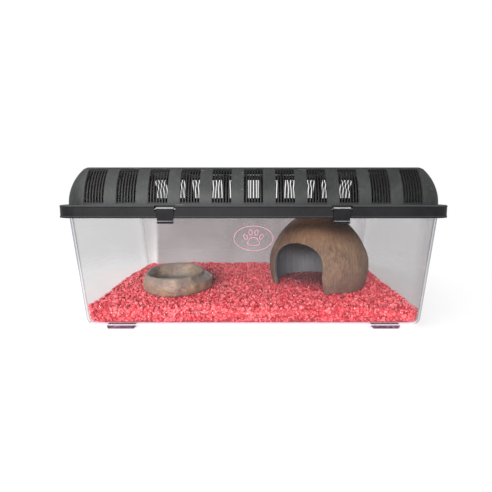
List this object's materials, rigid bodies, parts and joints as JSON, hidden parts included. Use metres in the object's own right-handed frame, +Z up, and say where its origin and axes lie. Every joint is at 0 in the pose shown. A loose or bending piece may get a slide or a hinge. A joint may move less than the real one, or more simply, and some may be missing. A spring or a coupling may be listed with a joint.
{
  "type": "small-pet tank",
  "caption": "Low clear plastic small-pet tank with a black barrel-shaped vented lid, swing latches, top hatch, gravel bed, dish and shell hide.",
  "frame": {"origin": "on the ground under the middle of the tank", "axes": "+X along the tank, front faces -Y, +Z up"},
  "size_m": [0.4, 0.27, 0.179],
  "materials": {
    "clear_plastic": "clear, glossy",
    "black_plastic": "satin moulded",
    "smoke_plastic": "smoke-tinted, glossy",
    "foot_pad": "soft satin",
    "gravel": "coated, slightly glossy",
    "steel_pin": "drawn wire",
    "dish_stone": "rough, stone look",
    "coconut_shell": "fibrous, matt"
  },
  "bodies": {
    "tank": {"tub": "clear_plastic", "foot_front_left": "foot_pad", "foot_front_right": "foot_pad", "foot_rear_left": "foot_pad", "foot_rear_right": "foot_pad", "gravel_bed": "gravel"},
    "lid": {"lid_frame": "black_plastic", "lid_dome": "black_plastic", "latch_pin_front_left": "steel_pin", "latch_pin_front_right": "steel_pin", "latch_pin_rear_left": "steel_pin", "latch_pin_rear_right": "steel_pin", "hatch_pin_left": "steel_pin", "hatch_pin_right": "steel_pin"},
    "latch_front_left": {"latch_front_left": "black_plastic"},
    "latch_front_right": {"latch_front_right": "black_plastic"},
    "latch_rear_left": {"latch_rear_left": "black_plastic"},
    "latch_rear_right": {"latch_rear_right": "black_plastic"},
    "hatch": {"hatch": "smoke_plastic"},
    "dish": {"food_dish": "dish_stone"},
    "hide": {"coconut_hide": "coconut_shell"}
  },
  "joints": [
    {"name": "lid_lift", "type": "slide", "parent": "tank", "child": "lid", "axis": [0, 0, 1], "range_m": [0, 0.12]},
    {"name": "latch_front_left_swing", "type": "hinge", "parent": "lid", "child": "latch_front_left", "pos_m": [-0.087, -0.1332, 0.1318], "axis": [-1, 0, 0], "range_deg": [0, 100]},
    {"name": "latch_front_right_swing", "type": "hinge", "parent": "lid", "child": "latch_front_right", "pos_m": [0.087, -0.1332, 0.1318], "axis": [-1, 0, 0], "range_deg": [0, 100]},
    {"name": "latch_rear_left_swing", "type": "hinge", "parent": "lid", "child": "latch_rear_left", "pos_m": [-0.087, 0.1332, 0.1318], "axis": [1, 0, 0], "range_deg": [0, 100]},
    {"name": "latch_rear_right_swing", "type": "hinge", "parent": "lid", "child": "latch_rear_right", "pos_m": [0.087, 0.1332, 0.1318], "axis": [1, 0, 0], "range_deg": [0, 100]},
    {"name": "hatch_swing", "type": "hinge", "parent": "lid", "child": "hatch", "pos_m": [0, 0.0515, 0.1766], "axis": [-1, 0, 0], "range_deg": [0, 110]},
    {"name": "dish_lift", "type": "slide", "parent": "tank", "child": "dish", "axis": [0, 0, 1], "range_m": [0, 0.06]},
    {"name": "hide_lift", "type": "slide", "parent": "tank", "child": "hide", "axis": [0, 0, 1], "range_m": [0, 0.04]}
  ]
}
